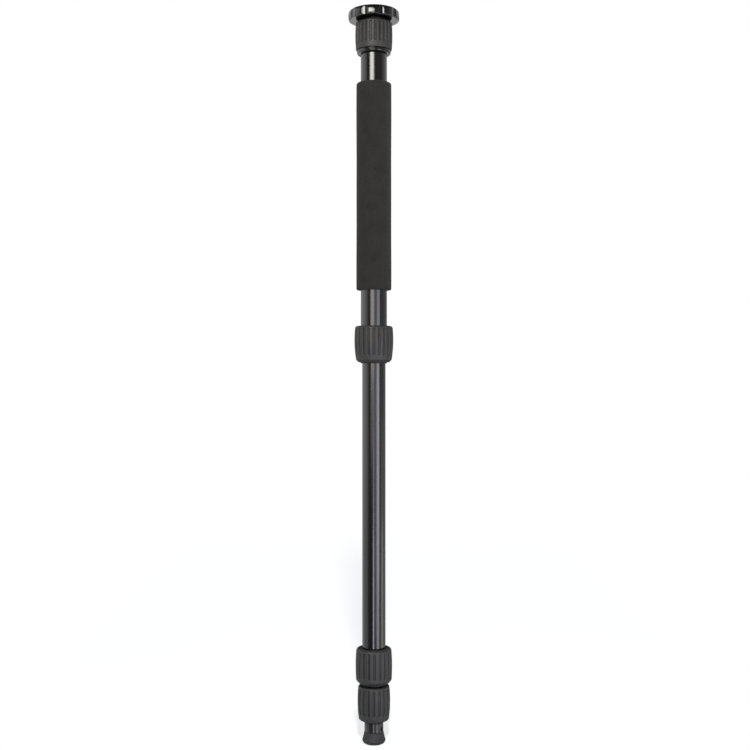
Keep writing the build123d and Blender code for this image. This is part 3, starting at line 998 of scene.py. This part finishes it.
pad_radius = np.linspace(rings_outer, rings_inner, pad_rows)
across = (pad_radius - rings_inner) / (rings_outer - rings_inner)
pad_waves = pad_high - ring_height + ring_height * np.cos(across * 2 * np.pi * ring_count)
pad_wall = [(pad_inner, pad_shoulder), (pad_inner, pad_low),
            (pad_outer, pad_low), (pad_outer, pad_shoulder)]
pad_profile = np.concatenate([np.stack([pad_radius, pad_waves], 1), pad_wall])
skin("ringed_pad", spin(pad_profile, pad_columns), True, "head", "pad_rubber", ["head_pad"])

# %% [markdown]
# ## The floor
#
# The leg stands on a strip of paper in a white studio. Paper that only the lamps light would come out
# grey, and stronger lamps would change the leg, so the paper also glows, for the camera alone. What
# reaches the leg is only the lamplight that the paper throws back, which is a little cool, and nothing
# on the leg mirrors the paper. The strip ends 90 mm in front of the leg: a leg that is drawn out goes
# down past the floor, and from the front a longer strip would hide much of it.

# %% Floor
paper_side = 0.42
paper_front, paper_back = -0.09, 2.42
paper_colour = (0.74, 0.77, 0.86, 1.0)
glow_at_leg = 0.68
glow_per_metre = 0.08
white = (1.0, 1.0, 1.0, 1.0)

paper_corners = [(-paper_side, paper_front, 0), (paper_side, paper_front, 0),
                 (paper_side, paper_back, 0), (-paper_side, paper_back, 0)]
floor_mesh = bpy.data.meshes.new("floor")
floor_mesh.from_pydata(paper_corners, [], [(0, 1, 2, 3)])
floor = bpy.data.objects.new("floor", floor_mesh)
bpy.context.scene.collection.objects.link(floor)
floor.visible_glossy = False

floor_material = bpy.data.materials.new("floor_white")
tree = Tree(floor_material)
seen = tree.node("ShaderNodeLightPath", output="Is Camera Ray")
place = tree.node("ShaderNodeTexCoord", output="Object")
behind = tree.node("ShaderNodeSeparateXYZ", inputs={0: place}, output="Y")
paint = tree.node("ShaderNodeBsdfDiffuse", inputs={"Color": paper_colour})
brightness = seen * (behind * glow_per_metre + glow_at_leg)
glow = tree.node("ShaderNodeEmission", inputs={"Color": white, "Strength": brightness})
both = tree.node("ShaderNodeAddShader", inputs={0: paint, 1: glow})
tree.node("ShaderNodeOutputMaterial", inputs={"Surface": both})
floor_mesh.materials.append(floor_material)
print("the paper is", 2 * paper_side, "m wide and", paper_back - paper_front, "m long")

# %% [markdown]
# ## The room
#
# What makes black metal look like metal is what it mirrors. The room is white to the camera. To a
# glossy surface it is a ring of pale walls and dark corners, different for rays that run down, level or
# up, and dim overhead. To everything else it is a faint light, stronger from below. Light Path tells the
# three apart. The walls come from colour ramps over the bearing. Each stop is a bearing in degrees, with
# the camera at 0 and its left negative, and a grey.

# %% Walls that the metal mirrors
world = bpy.data.worlds.new("studio")
bpy.context.scene.world = world
tree = Tree(world)
direction = tree.node("ShaderNodeTexCoord", output="Generated")
x, y, z = (tree.node("ShaderNodeSeparateXYZ", inputs={0: direction}, output=axis) for axis in "XYZ")
bearing = x.math("ARCTAN2", x, 0.0 - y) * (0.5 / math.pi) + 0.5


def walls(*stops):
    """The brightness round the leg at one level, from stops of a bearing and a grey."""
    places = [(degrees / 360 + 0.5, grey) for degrees, grey in stops]
    return tree.node("ShaderNodeValToRGB", {"stops": places}, {0: bearing})


low_walls = walls((-180, 0.6), (-150, 0.48), (-115, 0.64), (-70, 0.64), (-58, 0.30), (-46, 0.08),
                  (20, 0.08), (60, 0.24), (110, 0.38), (150, 0.30), (180, 0.6))
level_walls = walls((-180, 0.5), (-150, 0.42), (-112, 1.00), (-82, 1.10), (-66, 0.76), (-48, 0.22),
                    (-30, 0.08), (15, 0.16), (62, 0.30), (110, 0.34), (150, 0.28), (180, 0.5))
high_walls = walls((-180, 0.05), (-170, 0.05), (-150, 0.60), (-112, 0.86), (-76, 0.92), (-66, 0.36),
                   (-58, 0.10), (15, 0.10), (45, 0.16), (62, 0.12), (84, 0.38), (109, 0.54),
                   (150, 0.55), (170, 0.05), (180, 0.05))
print("three rings of walls, low, level and high")

# %% World
above_low = tree.span(z, -0.18, -0.03)
above_level = tree.span(z, 0.08, 0.20)
upper_walls = level_walls * (1.0 - above_level) + high_walls * above_level
room = low_walls * (1.0 - above_low) + upper_walls * above_low
mirrored = room * (1.0 - tree.span(z, 0.45, 0.75) * 0.85)
ambient = 0.12 + (1.0 - tree.span(z, -0.5, 0.5)) * 0.39

seen = tree.node("ShaderNodeLightPath", output="Is Camera Ray")
glossy = tree.node("ShaderNodeLightPath", output="Is Glossy Ray")
strength = seen + (1.0 - seen) * (glossy * mirrored + (1.0 - glossy) * ambient)
background = tree.node("ShaderNodeBackground", inputs={"Color": white, "Strength": strength})
tree.node("ShaderNodeOutputWorld", inputs={"Surface": background})
print("the world has", len(world.node_tree.nodes), "nodes")

# %% [markdown]
# ## The lamps
#
# Upright soft boxes in front of the leg give the long pale stripes on its black metal, and the gaps
# between them give the black. Each is a lamp on a circle round the leg, given by the two bearings and
# the two heights between which it stands. Some stand below the floor, because the lower half of the leg
# is seen from above and mirrors what is below it. Boxes with lights=False are only mirrored, so a
# highlight can be as bright as in the photo without flooding the rubber and the foam. One plain lamp
# from high in front does the opposite: it gives most of the plain light and isn't mirrored.

# %% Lamps
box_distance = 2.5
warm = (1.0, 0.965, 0.89)
cool = (0.86, 0.87, 1.0)
plain = (1.0, 0.985, 0.965)


def soft_box(name, bearings, levels, radiance, tint, mirrored=True, lights=True):
    """A lamp facing the leg's axis, with a power of radiance times pi times its area."""
    width = math.radians(bearings[1] - bearings[0]) * box_distance
    height = levels[1] - levels[0]
    middle = math.radians(sum(bearings) / 2)
    lamp = bpy.data.lights.new(name, "AREA")
    lamp.shape = "RECTANGLE"
    lamp.size, lamp.size_y = width, height
    lamp.energy = radiance * math.pi * width * height
    lamp.color = tint
    lit = bpy.data.objects.new(name, lamp)
    lit.location = (box_distance * math.sin(middle), -box_distance * math.cos(middle), sum(levels) / 2)
    lit.rotation_euler = (math.pi / 2, 0, middle)
    lit.visible_camera = False
    lit.visible_glossy = mirrored
    lit.visible_diffuse = lights
    bpy.context.scene.collection.objects.link(lit)
    print("lamp", name, "of", round(lamp.energy, 1), "W")


soft_box("high_key", (-37, 3), (1.20, 1.95), 6.0, warm, lights=False)
soft_box("high_key_core", (-29, -6), (1.20, 1.95), 4.0, warm, lights=False)
soft_box("low_key", (-33, 11), (0.12, 0.95), 0.9, warm)
soft_box("low_key_core", (-28, 1), (0.40, 0.95), 2.3, warm)
soft_box("between", (8, 27), (-0.45, 0.75), 0.8, cool)
soft_box("window_head", (27, 51), (0.50, 0.90), 2.2, cool)
soft_box("window", (27, 55), (-0.28, 0.50), 3.6, cool)
soft_box("window_foot", (27, 54), (-0.95, -0.28), 2.5, cool, lights=False)
soft_box("low_strip", (-9, 3), (-0.95, -0.12), 4.2, cool, lights=False)
soft_box("low_strip_head", (-8, 3), (-0.12, 0.16), 2.0, cool)
soft_box("side_strip", (72, 106), (-0.95, -0.10), 1.05, warm)
soft_box("side_strip_head", (72, 108), (-0.10, 0.25), 0.30, warm)
soft_box("plain_light", (-0.7, 2.9), (1.90, 2.50), 210.0, plain, mirrored=False)
